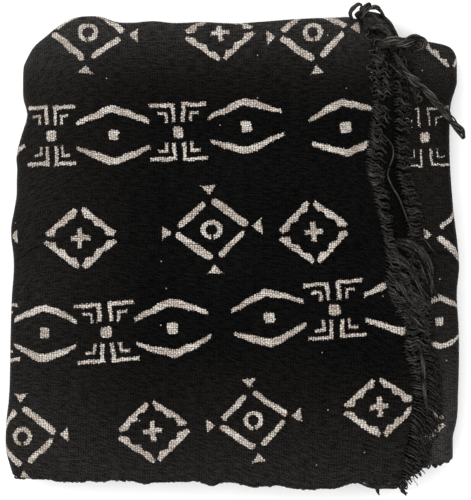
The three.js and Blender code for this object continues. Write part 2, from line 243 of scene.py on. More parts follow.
# across the cloth, w millimetres from the selvedge: four flat layers joined by half circles
def sectionAt(w):
    outer, inner, farY, nearY = (section[k] for k in ("outer", "inner", "farY", "nearY"))
    turnOuter, turnInner, between = math.pi * outer, math.pi * inner, -(outer + inner) / 2
    # length, y at its start, way along y (0 in a fold), height, facing, layer, first side and layers passed
    pieces = [
        (farY - section["startY"], section["startY"], 1, outer, 1, 1, 0, 0),
        (turnOuter, farY, 0, 0, 1, 1, 1, 3),
        (farY - nearY, farY, -1, -outer, -1, 4, 0, 0),
        (turnInner, nearY, 0, between, 1, 4, -1, -1),
        (farY - nearY, nearY, 1, -inner, 1, 3, 0, 0),
        (turnInner, farY, 0, 0, -1, 3, -1, -1),
        (farY - section["lastY"], farY, -1, inner, -1, 2, 0, 0),
    ]
    y, o, ny, no, layer = (np.zeros_like(w) for _ in range(5))
    start, last = 0.0, len(pieces) - 1
    for k, (length, fromY, way, height, facing, number, first, passed) in enumerate(pieces):
        here = (w >= start) | (k == 0)
        here = here & ((w < start + length) | (k == last))
        t = w[here] - start
        if way:
            y[here], o[here], no[here], layer[here] = fromY + way * t, height, facing, number
        else:
            radius = length / math.pi
            angle, away = t / radius, math.copysign(1, fromY)
            y[here] = fromY + away * radius * np.sin(angle)
            o[here] = height + first * radius * np.cos(angle)
            ny[here], no[here] = facing * away * np.sin(angle), facing * first * np.cos(angle)
            layer[here] = number + passed * angle / math.pi
        start += length
    return y, o, ny, no, layer


clothWidth = 1157.1
stripEnds = np.concatenate([[0, 150], np.linspace(300, clothWidth, 7)])


# a point of the folded cloth: the section's height is laid off along the station's normal, the two ends are
# stretched to their uneven cuts, and the whole is bent into the outline
def packedPoints(stations, names, w, side):
    y, o, ny, no, layer = sectionAt(w)
    y, o = y + side * packet["cloth"] / 2 * ny, o + side * packet["cloth"] / 2 * no
    sx, sz, nx, nz = (stations[:, i, None] for i in range(4))
    x, z = sx + o * nx, sz + o * nz + 0 * y
    grip = route["endGrip"]
    share = (sx - grip) / (route["ends"]["top"] - grip)
    for name, end in (("top", "outer"), ("inner", "inner")):
        stretched = (names == name)[:, None] & (share > 0)
        x = np.where(stretched, grip + share * (endOfCloth(end, y, layer) - grip), x)
    atEdge = ease((-y - selvedge["from"]) / selvedge["over"]) * (np.abs(layer - 1) < 0.5)
    return bendPacket(x + 0 * y, y + selvedgeWave(x + 0 * y) * atEdge + 0 * x, z)


# the selvedge of the upper layer waves in and out, from this far out over this much
selvedge = {
    "from": 125,
    "over": 20,
    "fine": [(0.25, 2.1, 0), (0.2, 3.7, 1)],
    "rows": [(-140, 0), (-120, -0.6), (-104, 0.4), (-88, -0.2), (-70, 0.8), (-52, -0.4), (-38, 0.7),
             (-20, 0.9), (-12, -1.1), (-7, 1.2), (4, 0.2), (14, -0.7), (24, 0.1), (33, -0.7), (44, 0),
             (52, 0.8), (66, -0.4), (80, 0.4), (96, -0.5), (110, 0)],
}


# a smooth table plus two fine sines
def selvedgeWave(x):
    fine = sum(size * np.sin(x / length + start) for size, length, start in selvedge["fine"])
    return smoothTable(selvedge["rows"], x) + fine


# meshes
def unrolled(values):
    return np.ascontiguousarray(values, dtype=np.float32).ravel()


def makePiece(name, points, faces, maps, finish, nodes):
    mesh = bpy.data.meshes.new(name)
    mesh.from_pydata((points * 0.001).tolist(), [], faces)
    for mapName, values in maps.items():
        mesh.uv_layers.new(name=mapName).data.foreach_set("uv", unrolled(values))
    mesh.polygons.foreach_set("use_smooth", np.ones(len(mesh.polygons), bool))
    mesh.materials.append(finish)
    mesh.update()
    piece = bpy.data.objects.new(name, mesh)
    bpy.context.scene.collection.objects.link(piece)
    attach(piece, "root")
    if nodes:
        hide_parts(*nodes)
    return piece


# volume under each face, summed: negative where the faces point inwards
def pointsInwards(points, quads):
    a, b, c, d = (points[quads[:, i]] for i in range(4))
    return np.einsum("ij,ij->i", a, np.cross(b, c)).sum() + np.einsum("ij,ij->i", a, np.cross(c, d)).sum() < 0


# motifs: painted figures of four traditional kinds, placed on the cloth in rows
motifKinds = ("eye", "cross", "ringDiamond", "steppedDiamond")
motifs = {
    # kind, x and y of its middle in pixels, turn in degrees, width and height against the usual figure;
    # first read by eye, then corrected by a fitting script that compared a render with the photo
    "top": [
        ("ringDiamond", 87.8, 31.8, -3.2, 1.00, 0.91), ("steppedDiamond", 219.5, 32.5, 4.7, 0.94, 0.91),
        ("ringDiamond", 313.0, 31.8, 7.0, 0.93, 0.92),
        ("eye", -12, 137, 4, 1.0, 1.0), ("cross", 51.1, 135.7, 1.6, 0.85, 1.02),
        ("eye", 113.4, 135.1, 1.6, 1.01, 1.05),
        ("cross", 178.7, 131.9, 2.1, 0.98, 0.98), ("eye", 245.9, 126.3, 6.2, 1.01, 0.97),
        ("eye", 345.7, 127.6, 7.6, 0.98, 1.01),
        ("ringDiamond", -33, 239, 3, 1.0, 1.0), ("steppedDiamond", 80.1, 238.0, 1.6, 0.97, 1.00),
        ("ringDiamond", 211.9, 229.5, 4.2, 1.00, 0.97), ("steppedDiamond", 313.7, 231.9, 5.0, 0.94, 1.03),
        ("cross", -11, 333, 2, 1.0, 1.0), ("eye", 44.5, 333.1, -1.1, 0.87, 1.02),
        ("cross", 106.2, 332.4, 4.6, 1.04, 1.02),
        ("eye", 172.4, 328.1, 5.3, 1.01, 1.04), ("eye", 269.0, 317.8, 8.4, 0.99, 1.01),
        ("cross", 334.8, 309.8, 5.8, 1.01, 0.97), ("eye", 404.2, 305.2, 4.0, 1.08, 1.05),
        ("ringDiamond", 22.1, 436.6, 3.0, 0.92, 0.94), ("steppedDiamond", 153.1, 431.2, 6.2, 0.95, 1.01),
        ("ringDiamond", 253.8, 420.5, 7.1, 0.95, 0.92), ("steppedDiamond", 379.6, 407.0, 5.5, 0.96, 0.98),
    ],
    # the same on the layer at the right
    "right": [
        ("steppedDiamond", 451.7, 39, 0, 0.85, 0.95), ("cross", 425.0, 137.4, 3.0, 0.95, 1.03),
        ("ringDiamond", 473.4, 232.8, 2.0, 1.00, 1.10),
        ("eye", 439.5, 322.0, 3.5, 0.82, 0.98), ("steppedDiamond", 408.9, 423.2, 3.0, 1.00, 1.00),
        ("eye", 367, 456, 0, 0.9, 1.0),
    ],
    "rowPitch": 62.0,
    # in the hidden rows: how far apart the small and large kinds lie, how far they stray, and their sizes
    "steps": (47, 74),
    "stray": 2,
    "sizes": (0.94, 1.04),
    "outOfReach": 90,          # stands for no motif nearby
}


# places on the faces that are seen: across and up as the camera sees them, plus the extra length of every
# slope, measured from the middle of the named run and of the strip; across grows to the left
def seenPlaces(face, names, run):
    scale = view["pixel"]
    seen, high = seenAt(face) * (scale, -scale), face[..., 2]
    along = np.hypot(np.diff(seen[..., 0], axis=0), np.diff(high, axis=0)).cumsum(0)
    along = np.concatenate([np.zeros_like(along[:1]), along])
    up = np.hypot(np.diff(seen[..., 1], axis=1), np.diff(high, axis=1)).cumsum(1)
    up = np.concatenate([np.zeros_like(up[:, :1]), up], 1)
    own = np.flatnonzero(names == run)
    start, row = own[len(own) // 2], face.shape[1] // 2
    across = along - along[start] - seen[start, :, 0]
    return np.stack([across, seen[:, row:row + 1, 1] + up - up[:, row:row + 1]], -1)


def motifsSeen(run):
    scale = view["pixel"]
    return [(kind, -px * scale, -py * scale, *rest) for kind, px, py, *rest in motifs[run]]


# rows for the parts that the photo doesn't show: kinds take turns along each row, a little uneven
def hiddenMotifs(fromS, toS, fromW, toW, seed):
    local = np.random.default_rng(seed)
    found, (smallStep, largeStep), stray = [], motifs["steps"], motifs["stray"]
    for row, w in enumerate(np.arange(fromW, toW, motifs["rowPitch"])):
        kinds, step = (motifKinds[:2], smallStep) if row % 2 else (motifKinds[2:], largeStep)
        for column, s in enumerate(np.arange(fromS, toS, step)):
            size = local.uniform(*motifs["sizes"], 2)
            place = (s + local.normal(0, stray), w + local.normal(0, stray), local.normal(0, stray))
            found.append((kinds[column % 2], *place, *size))
    return found


# each face takes the nearest motif of a kind; its corners get their place in that motif's own millimetres
def motifMap(corners, faceMiddles, shown, kind):
    own = np.array([m[1:] for m in shown if m[0] == kind])
    nearest = np.argmin(((faceMiddles[:, None] - own[None, :, :2]) ** 2).sum(-1), 1)
    s, w, turn, wide, tall = own[nearest].T[:, :, None]
    across, up = s - corners[..., 0], corners[..., 1] - w
    c, n = np.cos(np.radians(turn)), np.sin(np.radians(turn))
    local = np.stack([(across * c + up * n) / wide, (up * c - across * n) / tall], -1)
    return np.clip(local, -motifs["outOfReach"], motifs["outOfReach"])


# strips
strips = {
    "fine": {"along": 2.0, "across": 2.4, "hidden": 6.0},
    "plain": {"along": 5.5, "across": 6.0, "hidden": 9.0},
    "gap": 0.3,
    "edgeRound": 0.1,
    "edgeRows": (0, 0.5, 1.3),
    "innerFrom": 2.4,
    "closest": 0.3,
    "foldRows": (286.5, 294.5, 9),   # rows set close where strips 2 and 3 turn over at the far edge
    "flatLength": 1.543,
}


# where the lines along a strip lie across it: close at its edges, even between them
def widthRows(n, across):
    low = stripEnds[n - 1] + (strips["gap"] / 2 if n > 1 else 0)
    high = stripEnds[n] - (strips["gap"] / 2 if n < 8 else 0)
    near = np.array(strips["edgeRows"])
    inner = np.linspace(low + strips["innerFrom"], high - strips["innerFrom"], int((high - low) / across))
    rows = [low + near, inner, high - near]
    if n in (2, 3):
        rows.append(np.linspace(*strips["foldRows"]))
    rows = np.unique(np.concatenate(rows).round(3))
    rows = rows[(rows >= low) & (rows <= high)]
    keep = np.concatenate([[True], np.diff(rows) > strips["closest"]])
    keep[-1] = True
    return rows[keep]


# a strip is a tube of flattened rings, one at each station: its face, a rim, its back and the other rim
def stripGrid(n):
    size = strips["fine"] if n < 3 else strips["plain"]
    stations, names = bundleRoute(size["along"], size["hidden"])
    w = widthRows(n, size["across"])
    low, high = w[:1] - strips["edgeRound"], w[-1:] + strips["edgeRound"]
    face, back = (packedPoints(stations, names, w, side) for side in (1, -1))
    rims = [packedPoints(stations, names, edge, 0) for edge in (high, low)]
    rings = np.concatenate([face, rims[0], back[:, ::-1], rims[1]], 1)
    ringW = np.concatenate([w, high, w[::-1], low])
    outer = stations[:, :2] + section["outer"] * stations[:, 2:]
    s = np.concatenate([[0], np.cumsum(np.linalg.norm(np.diff(outer, axis=0), axis=1))])
    return {"rings": rings, "ringW": ringW, "s": s, "names": names, "rows": len(w)}


# which motifs each station's faces carry, and in which places: seen ones on the faces that are seen
def motifPlan(n, grid, hidden):
    ring, count = grid["rings"].shape[1], len(grid["names"])
    cloth = np.stack(np.broadcast_arrays(grid["s"][:, None], grid["ringW"][None]), -1)
    plan = [(np.ones(count, bool), cloth, hidden)]
    for run, fold in (("top", "leftFold"), ("right", "rightFold")) if n < 3 else ():
        places = np.full((count, ring, 2), 1e4)
        places[:, :grid["rows"]] = seenPlaces(grid["rings"][:, :grid["rows"]], grid["names"], run)
        plan.append((np.isin(grid["names"], [run, fold]), places, motifsSeen(run)))
    return plan


# rings joined by quads, both ends closed, and a map of cloth lengths plus one of each kind of motif
def buildStrip(n, grid, hidden, finish):
    stationCount, ring = grid["rings"].shape[:2]
    rows = grid["rows"]
    at = np.arange(stationCount * ring).reshape(stationCount, ring)
    ahead = np.roll(at, -1, 1)
    quads = np.stack([at[:-1], ahead[:-1], ahead[1:], at[1:]], -1).reshape(-1, 4)
    i = np.arange(rows - 1)
    far = 2 * rows - i
    ends = np.concatenate([at[0][np.stack([i, far, far - 1, i + 1], -1)],
                           at[-1][np.stack([i, i + 1, far - 1, far], -1)]])
    rims = np.array([at[0][[0, ring - 1, 2 * rows]], at[0][[rows - 1, rows + 1, rows]],
                     at[-1][[0, 2 * rows, ring - 1]], at[-1][[rows - 1, rows, rows + 1]]])
    points = grid["rings"].reshape(-1, 3)
    quads = np.concatenate([quads, ends])
    if pointsInwards(points, quads):
        quads, rims = quads[:, ::-1], rims[:, ::-1]
    vertexMap = np.stack(np.broadcast_arrays(grid["s"][:, None], grid["ringW"][None]), -1).reshape(-1, 2)
    corners = vertexMap[quads]
    onFace = np.zeros(len(quads), bool)
    onFace[:(stationCount - 1) * ring] = np.tile(np.arange(ring) < rows - 1, stationCount - 1)
    rimCorners = vertexMap[rims].reshape(-1, 2)
    maps = {"cloth": np.concatenate([corners.reshape(-1, 2), rimCorners]) * 0.001}
    stationOf = np.repeat(np.arange(stationCount - 1), ring)
    for kind in motifKinds:
        local = np.full(corners.shape, float(motifs["outOfReach"]))
        for stations, places, shown in motifPlan(n, grid, hidden):
            pick = np.flatnonzero(onFace[:len(stationOf)] & stations[stationOf])
            own = places.reshape(-1, 2)[quads[pick]]
            local[pick] = motifMap(own, own.mean(1), shown, kind)
        maps[kind] = np.concatenate([local.reshape(-1, 2), np.full_like(rimCorners, motifs["outOfReach"])])
    faces = quads.tolist() + rims.tolist()
    piece = makePiece(f"clothStrip{n}", points, faces, maps, finish, [f"strip_{n}"])
    return piece


# shader expressions
# a socket whose sums, products and so on add their own nodes
class Wire:
    def __init__(self, tree, socket=None):
        self.tree, self.socket = tree, socket

    def node(self, kind, settings, inputs, output=0):
        made = self.tree.nodes.new(kind)
        for key, value in settings.items():
            if key == "stops":
                while len(made.color_ramp.elements) < len(value):
                    made.color_ramp.elements.new(0.5)
                for stop, (place, colour) in zip(made.color_ramp.elements, value):
                    stop.position, stop.color = place, (*colour, 1)
            else:
                setattr(made, key, value)
        for key, value in inputs.items():
            if isinstance(value, Wire):
                self.tree.links.new(value.socket, made.inputs[key])
            else:
                made.inputs[key].default_value = value
        return Wire(self.tree, made.outputs[output])

    def maths(self, operation, *values):
        return self.node("ShaderNodeMath", {"operation": operation}, dict(enumerate(values)))

    def __add__(self, other):
        return self.maths("ADD", self, other)

    def __sub__(self, other):
        return self.maths("SUBTRACT", self, other)

    def __rsub__(self, other):
        return self.maths("SUBTRACT", other, self)

    def __mul__(self, other):
        return self.maths("MULTIPLY", self, other)

    def __truediv__(self, other):
        return self.maths("DIVIDE", self, other)

    def __pow__(self, other):
        return self.maths("POWER", self, other)

    def __abs__(self):
        return self.maths("ABSOLUTE", self)

    __radd__, __rmul__ = __add__, __mul__

    def least(self, other):
        return self.maths("MINIMUM", self, other)

    def most(self, other):
        return self.maths("MAXIMUM", self, other)

    def clamped(self):
        return self.least(1).most(0)

    def sine(self):
        return self.maths("SINE", self)

    def parts(self):
        return [self.node("ShaderNodeSeparateXYZ", {}, {"Vector": self}, k) for k in (0, 1)]

    def joined(self, x, y):
        return self.node("ShaderNodeCombineXYZ", {}, {"X": x, "Y": y})

    def noise(self, x, y, scale, detail=2):
        settings = {"Vector": self.joined(x * scale, y * scale), "Scale": 1, "Detail": detail}
        return self.node("ShaderNodeTexNoise", {"noise_dimensions": "2D"}, settings)

    def mixed(self, share, a, b):
        settings = {"data_type": "RGBA", "blend_type": "MIX"}
        return self.node("ShaderNodeMix", settings, {0: share, 6: a, 7: b}, 2)

    def map(self, name):
        return self.node("ShaderNodeUVMap", {"uv_map": name}, {}).parts()


def newMaterial(name):
    material = bpy.data.materials.new(name)
    material.use_nodes = True
    tree = material.node_tree
    shader = tree.nodes["Principled BSDF"]
    return material, Wire(tree), shader


def connect(wire, shader, **links):
    for name, value in links.items():
        wire.tree.links.new(value.socket, shader.inputs[name.replace("_", " ")])


# painted figures as distances in millimetres, negative inside the paint
figures = {
    "eye": {"halfWidth": 22.6, "peak": 15.4, "fall": 8.2, "bend": 1.2, "flat": 0.9, "thick": 2.0,
            "taper": 1.05, "dot": 3.0},
    "cross": {"upright": 3.2, "top": 17.1, "low": 7.6, "reach": 17.4, "thick": 1.08,
              "smallUpright": 7.8, "smallTop": 12.0, "smallLow": 7.2, "smallReach": 12.6, "smallThick": 0.8,
              "dot": 3.1},
    "ringDiamond": {"top": (3.2, 17.4), "side": (20.6, 2.6), "thick": 1.95, "uneven": 0.15, "short": 0.09,
                    "ring": 5.0, "ringThick": 1.35, "ringGap": 0.75,
                    "sideApex": 25.2, "sideBack": 31.0, "sideSlope": 0.80, "sideFlat": 0.78,
                    "topApex": 22.6, "topBack": 28.0, "topSlope": 0.86, "topFlat": 0.76},
    "steppedDiamond": {"top": (2.0, 17.6), "side": (21.9, 2.1), "thick": 1.2, "steps": 3.0, "step": 2.1,
                       "outward": 0.35, "low": 1.3, "arm": 6.0, "armThick": 1.5, "heart": 2.8},
}


# a square whose corners are rounded off
def rounded(p, q, half):
    cornerP, cornerQ = (p - half * 0.6).most(0), (q - half * 0.6).most(0)
    return (cornerP * cornerP + cornerQ * cornerQ) ** 0.5 - half * 0.45


# two bowed lids, each at a height that falls away from the middle, and a dot
def eyeDistance(p, q):
    f = figures["eye"]
    out = p / f["halfWidth"]
    middle = f["peak"] - (out.least(1.2) ** f["bend"]) * f["fall"]
    lid = abs(q - middle) * f["flat"] - (f["thick"] - out * out * f["taper"])
    return lid.most(p - f["halfWidth"]).least(rounded(p, q, f["dot"]))


# four outer brackets, four small ones inside them, and a dot
def crossDistance(p, q):
    f = figures["cross"]

    def bracket(upright, top, low, reach, thick):
        postEnd = abs(q - (top + low) / 2) - ((top - low) / 2 + thick)
        beamEnd = abs(p - (upright + reach) / 2) - ((reach - upright) / 2 + thick * 0.6)
        return (abs(p - upright) - thick).most(postEnd).least((abs(q - top) - thick).most(beamEnd))

    outer = bracket(f["upright"], f["top"], f["low"], f["reach"], f["thick"])
    small = bracket(f["smallUpright"], f["smallTop"], f["smallLow"], f["smallReach"], f["smallThick"])
    return outer.least(small).least(rounded(p, q, f["dot"]))


# four bars, a ring broken at its foot, and four triangles that point inwards
def ringDiamondDistance(x, y, p, q):
    f = figures["ringDiamond"]
    (ax, ay), (bx, by) = f["top"], f["side"]
    dx, dy = bx - ax, by - ay
    quarter = (x * y * 0.1).least(1).most(-1)
    short = (1 - quarter) * (0.5 * f["short"])
    along = (((p - ax) * dx + (q - ay) * dy) / (dx * dx + dy * dy)).most(short).least(1 - short)
    offX, offY = p - ax - along * dx, q - ay - along * dy
    bar = (offX * offX + offY * offY) ** 0.5 - (quarter * f["uneven"] + f["thick"])
    ring = abs((p * p + q * q) ** 0.5 - f["ring"]) - f["ringThick"]
    ring = ring.most((f["ringGap"] - p).least(1.2 - y * 0.4))
    side = (p - f["sideBack"]).most((q - (p - f["sideApex"]) * f["sideSlope"]) * f["sideFlat"])
    top = (q - f["topBack"]).most((p - (q - f["topApex"]) * f["topSlope"]) * f["topFlat"])
    return bar.least(ring).least(side).least(top)


# four bars cut square at their ends, thicker towards the inside in steps, and a plus
def steppedDiamondDistance(y, p, q):
    f = figures["steppedDiamond"]
    (ax, ay), (bx, by) = f["top"], f["side"]
    low = (0 - y * 0.4).clamped() * f["low"]
    dx, dy = bx - ax, by - ay
    length = math.hypot(dx, dy)
    along = ((p - ax) * dx + (q - ay) * dy) * (1 / length)
    away = ((q - ay) * dx - (p - ax) * dy) * (1 / length)
    rise = (along * (f["steps"] / length)).maths("FRACT", along * (f["steps"] / length))
    inside = (0 - away) - (abs(rise - 0.5) * (-2 * f["step"]) + (f["thick"] + f["step"]))
    end = abs(along - length / 2) - (low * 0.5 + length / 2)
    bar = inside.most(away - (f["thick"] + f["outward"])).most(end)
    plus = (p - f["armThick"]).most(q - f["arm"]).least((q - f["armThick"]).most(p - f["arm"]))
    return bar.least(plus).least((p * p + q * q) ** 0.5 - f["heart"])


cloth = {
    "weave": (1.46, 1.18),      # millimetres between the warp threads and between the weft threads
    "ground": (0.0010, 0.0010, 0.0010),
    "groundHigh": (0.0048, 0.0046, 0.0045),
    # painted light: the grey the black is lightened to near the edges, and the paler grey of the painted
    # sheen along the far edge
    "edgeLightColour": (0.0235, 0.0213, 0.0194),
    "farSheenColour": (0.052, 0.050, 0.048),
    # where the painted edge light, standing for glare and sheen, along the left, near and far edge starts, in
    # metres, over how far, and how strong it gets
    "paintedEdgeLight": {"left": (0.050, 0.085, 0.66), "near": (0.058, 0.085, 0.82), "far": (0.080, 0.068, 0.95),
             "all": 0.04, "right": 0.38, "rightLow": 0.4, "lowReach": 0.14},
    "farFrom": 0.35,
    "lowSheen": 0.75,
    # cloth lengths where the layer at the right starts and ends, and over how much each
    "rightLayerShare": (470, 40, 680, 60),
    "thinPaint": 0.5,
    "seam": (150.0, 300.0),
    "seamHalf": 1.7,
    "seamShade": 0.85,
    "paint": [(0.255, 0.210, 0.176), (0.580, 0.545, 0.500)],
    "tilt": 0.30,               # how far the weft leans down to the right at the near edge
    "stray": 1.5,
    "wobble": 1.1,
    "fray": 0.75,
    "scallop": 0.8,
    "fleck": (0.962, 60, 0.7),
    # how fine each pattern is: turns in a millimetre
    "noise": {"stray": 0.33, "wobble": 0.11, "fray": 0.8, "grain": 0.62, "streak": 0.17, "streakAcross": 0.8,
              "holes": 0.85, "patches": 0.022, "warm": 0.06, "fleck": 0.3},
    "sheen": 0.10,
    "sheenRoughness": 0.3,
    "sheenTint": (0.95, 0.93, 0.9, 1),
    "bump": 0.00024,
}


def opaque(colour):
    return (*colour, 1)


# how far a point lies on the layer at the right, where the paint is drawn thinner and the black is painted
# lighter as painted glare
def rightLayerShare(s):
    start, over, end, overEnd = cloth["rightLayerShare"]
    return ((s - start) / over).clamped() * ((end - s) / overEnd).clamped()


# How much painted edge light, standing for glare near the edges and sheen at the far fold, lightens the
# black: it grows with the power 1.5 of how far a point lies in the bands along three edges.
# Also given: how far it lies in the last band, at the far edge, and how low on the layer at the right
def paintedEdgeLightOf(wire, s):
    x, y = wire.node("ShaderNodeTexCoord", {}, {}, 3).parts()
    paintedEdgeLight = cloth["paintedEdgeLight"]
    total = rightLayerShare(s) * paintedEdgeLight["right"] + paintedEdgeLight["all"]
    low = rightLayerShare(s) * (y * (-1 / paintedEdgeLight["lowReach"])).clamped()
    total = total + low * paintedEdgeLight["rightLow"]
    for edge, place in (("left", 0 - x), ("near", 0 - y), ("far", y)):
        start, reach, strength = paintedEdgeLight[edge]
        band = ((place - start) / reach).clamped()
        total = total + (band ** 1.5) * strength
    return total.clamped(), band, low


def clothFinish():
    material, wire, shader = newMaterial("mudCloth")
    s, w = (v * 1000 for v in wire.map("cloth"))
    fine = cloth["noise"]

    # a slow swing from -0.5 to 0.5, shifted along or across the cloth so that two of them differ
    def swing(kind, shiftS=0, shiftW=0):
        return wire.noise(s + shiftS, w + shiftW, fine[kind], 1) - 0.5

    # plain weave: every other crossing is high, the threads wander a little, and small pits lie between them
    warp = (s + swing("stray") * cloth["stray"]) * (math.pi / cloth["weave"][0])
    weft = (w + swing("stray", 90) * cloth["stray"]) * (math.pi / cloth["weave"][1])
    crossing = warp.sine() * weft.sine()
    pick = abs(crossing) * 0.8 + crossing * 0.2
    # the hand that painted wobbled slowly, and the paint's edge frays finely
    pushX = swing("wobble") * (2 * cloth["wobble"]) + swing("fray") * (2 * cloth["fray"])
    pushY = swing("wobble", 300) * (2 * cloth["wobble"]) + swing("fray", 0, 500) * (2 * cloth["fray"])

    def local(kind):
        x, y = wire.map(kind)
        x, y = x + pushX, y + pushY
        return x, y, abs(x), abs(y)

    distance = eyeDistance(*local("eye")[2:]).least(crossDistance(*local("cross")[2:]))
    distance = distance.least(ringDiamondDistance(*local("ringDiamond")))
    distance = distance.least(steppedDiamondDistance(*local("steppedDiamond")[1:]))
    distance = distance + rightLayerShare(s) * cloth["thinPaint"]
    grain = wire.noise(s, w, fine["grain"], 2)
    distance = distance - (pick - 0.45) * cloth["scallop"] * 0.5
    solid = (0.6 - distance * 1.9 - grain * 0.3).clamped()
    pits = ((0.42 - pick) * 2.2).clamped()
    # the weft's floats make short dashes, level at the far edge and leaning more towards the near one
    leaning = w - s * ((300 - w) * (cloth["tilt"] / 300))
    streak = wire.noise(s * fine["streak"], leaning * fine["streakAcross"], 1, 3)
    holes = pits * (wire.noise(s, w, fine["holes"], 1) * 3.0 + (0.5 - streak) * 2.2 - 0.75).clamped()
    paint = (solid * (1 - holes * 0.95)).clamped()
    # the black's tone: streaks and grain are the cloth's own; lighter on the weave's high crossings and
    # darker in its pits is painted light and shade
    tone = ((streak - 0.5) * 1.9 + (grain - 0.5) * 0.8 + pick * 1.0 + 0.09).clamped()
    # along a seam the edges turn down and lie in their own shade
    fromSeam = abs(w - cloth["seam"][0]).least(abs(w - cloth["seam"][1]))
    seam = (1 - fromSeam * (1 / cloth["seamHalf"])).clamped()
    tone = tone * (1 - seam * cloth["seamShade"])
    plainGround = wire.mixed(tone, opaque(cloth["ground"]), opaque(cloth["groundHigh"]))
    # painted light: the black is lightened near the left, near and far edges and on the layer at the right,
    # and is greyer still along the far edge, for glare and sheen
    paintedEdgeLight, farBand, low = paintedEdgeLightOf(wire, s)
    sheenShare = (farBand - cloth["farFrom"]).most(low * cloth["lowSheen"]).clamped()
    edgeLightColour = wire.mixed(sheenShare, opaque(cloth["edgeLightColour"]), opaque(cloth["farSheenColour"]))
    pale = wire.mixed((tone * 0.8 + 0.2).clamped(), opaque(cloth["ground"]), edgeLightColour)
    patches = wire.noise(s, w, fine["patches"], 2) - 0.5
    dark = wire.mixed((paintedEdgeLight + patches * 0.2).clamped(), plainGround, pale)
    # the cream shifts with slow noise and the weft's streaks, and is painted lighter on the weave's high
    # crossings and darker between threads, as painted light and shade
    warm = (wire.noise(s, w, fine["warm"], 3) - 0.5) * 1.4 + pick * 1.1 + (streak - 0.5) * 1.6 - 0.12
    cream = wire.mixed(warm.clamped(), opaque(cloth["paint"][0]), opaque(cloth["paint"][1]))
    above, sharp, strength = cloth["fleck"]
    fleck = ((wire.noise(s + 700, w, fine["fleck"], 0) - above) * sharp).clamped()
    colour = wire.mixed(paint.most(fleck * strength), dark, cream)
    height = pick * 0.8 + grain * 0.9 + streak * 0.6 - seam * 1.2
    relief = {"Strength": 1.0, "Distance": cloth["bump"], "Height": height}
    connect(wire, shader, Base_Color=colour, Normal=wire.node("ShaderNodeBump", {}, relief))
    shader.inputs["Roughness"].default_value = 1.0
    shader.inputs["Specular IOR Level"].default_value = 0.0
    shader.inputs["Sheen Weight"].default_value = cloth["sheen"]
    shader.inputs["Sheen Roughness"].default_value = cloth["sheenRoughness"]
    shader.inputs["Sheen Tint"].default_value = cloth["sheenTint"]
    return material


mudCloth = clothFinish()
grids = {n: stripGrid(n) for n in range(1, 9)}
outerRows = hiddenMotifs(20, 1540, 18, 300, 3)
innerRows = hiddenMotifs(20, 1540, 320, clothWidth, 6)
for n in range(1, 9):
    buildStrip(n, grids[n], outerRows if n < 3 else innerRows, mudCloth)
print("strips built")


# yarns are round tubes carried along paths, many in one piece
# rings of corners round each path: cosine times its side plus sine times its lift, times the radius
def tubeRings(paths, radii, sides):
    along = np.gradient(paths, axis=1)
    along /= np.linalg.norm(along, axis=-1, keepdims=True) + 1e-9
    side = np.cross(along, (0.02, 0.03, 1.0))
    side /= np.linalg.norm(side, axis=-1, keepdims=True) + 1e-9
    lift = np.cross(side, along)
    angle = 2 * math.pi * np.arange(sides) / sides
    out = np.cos(angle)[:, None] * side[:, :, None] + np.sin(angle)[:, None] * lift[:, :, None]
    return paths[:, :, None] + radii[:, :, None, None] * out


# one mesh of many closed tubes; the map "yarn" runs along and round each, and "run" holds its share and shade
def buildYarns(name, groups, finish, nodes):
    points, quads, caps, maps, shares, capCorners, start = [], [], [], [], [], [], 0
    for paths, radii, sides, shade in groups:
        count, steps = paths.shape[:2]
        rings = tubeRings(paths, radii, sides)
        at = start + np.arange(count * steps * sides).reshape(count, steps, sides)
        ahead = np.roll(at, -1, 2)
        quads.append(np.stack([at[:, :-1], ahead[:, :-1], ahead[:, 1:], at[:, 1:]], -1).reshape(-1, 4))
        length = np.cumsum(np.linalg.norm(np.diff(paths, axis=1), axis=-1), 1)
        u = np.concatenate([np.zeros((count, 1)), length], 1) + dice.uniform(0, 90, (count, 1))
        k = np.arange(sides)
        corner = [(0, 0), (0, 1), (1, 1), (1, 0)]
        grid = [(u[:, a:steps - 1 + a, None], (k + b) / sides) for a, b in corner]
        maps.append(np.stack([np.stack(np.broadcast_arrays(*pair), -1) for pair in grid], 3).reshape(-1, 2))
        t = np.linspace(0, 1, steps)[None, :, None] + np.zeros((count, 1, sides))
        own = shade * dice.uniform(*yarn["shades"], (count, 1, 1)) + 0 * t[:, :-1]
        run = [np.stack([t[:, a:steps - 1 + a], own], -1) for a, _ in corner]
        shares.append(np.stack(run, 3).reshape(-1, 2))
        caps += at[:, 0, ::-1].tolist() + at[:, -1].tolist()
        capCorners.append(np.zeros((2 * count * sides, 2)))
        points.append(rings.reshape(-1, 3))
        start += count * steps * sides
    points, quads = np.concatenate(points), np.concatenate(quads)
    if pointsInwards(points, quads):
        quads = quads[:, ::-1]
        maps, shares = ([m.reshape(-1, 4, 2)[:, ::-1].reshape(-1, 2) for m in own] for own in (maps, shares))
        caps = [cap[::-1] for cap in caps]
    maps = {"yarn": np.concatenate(maps + capCorners) * (0.001, 1),
            "run": np.concatenate(shares + capCorners)}
    return makePiece(name, points, quads.tolist() + caps, maps, finish, nodes)


yarn = {
    "colours": [(0.0010, 0.0009, 0.0008), (0.0900, 0.0820, 0.0730)],
    "fleck": (0.45, 0.41, 0.36),
    "shades": (0.35, 1),        # each yarn's own share of its group's shade
    "noise": {"fuzz": 2.0, "slow": 0.12, "fleck": 0.55},
    "twist": 1100.0,
    "bump": 0.00012,
    "sheen": 0.05,
}
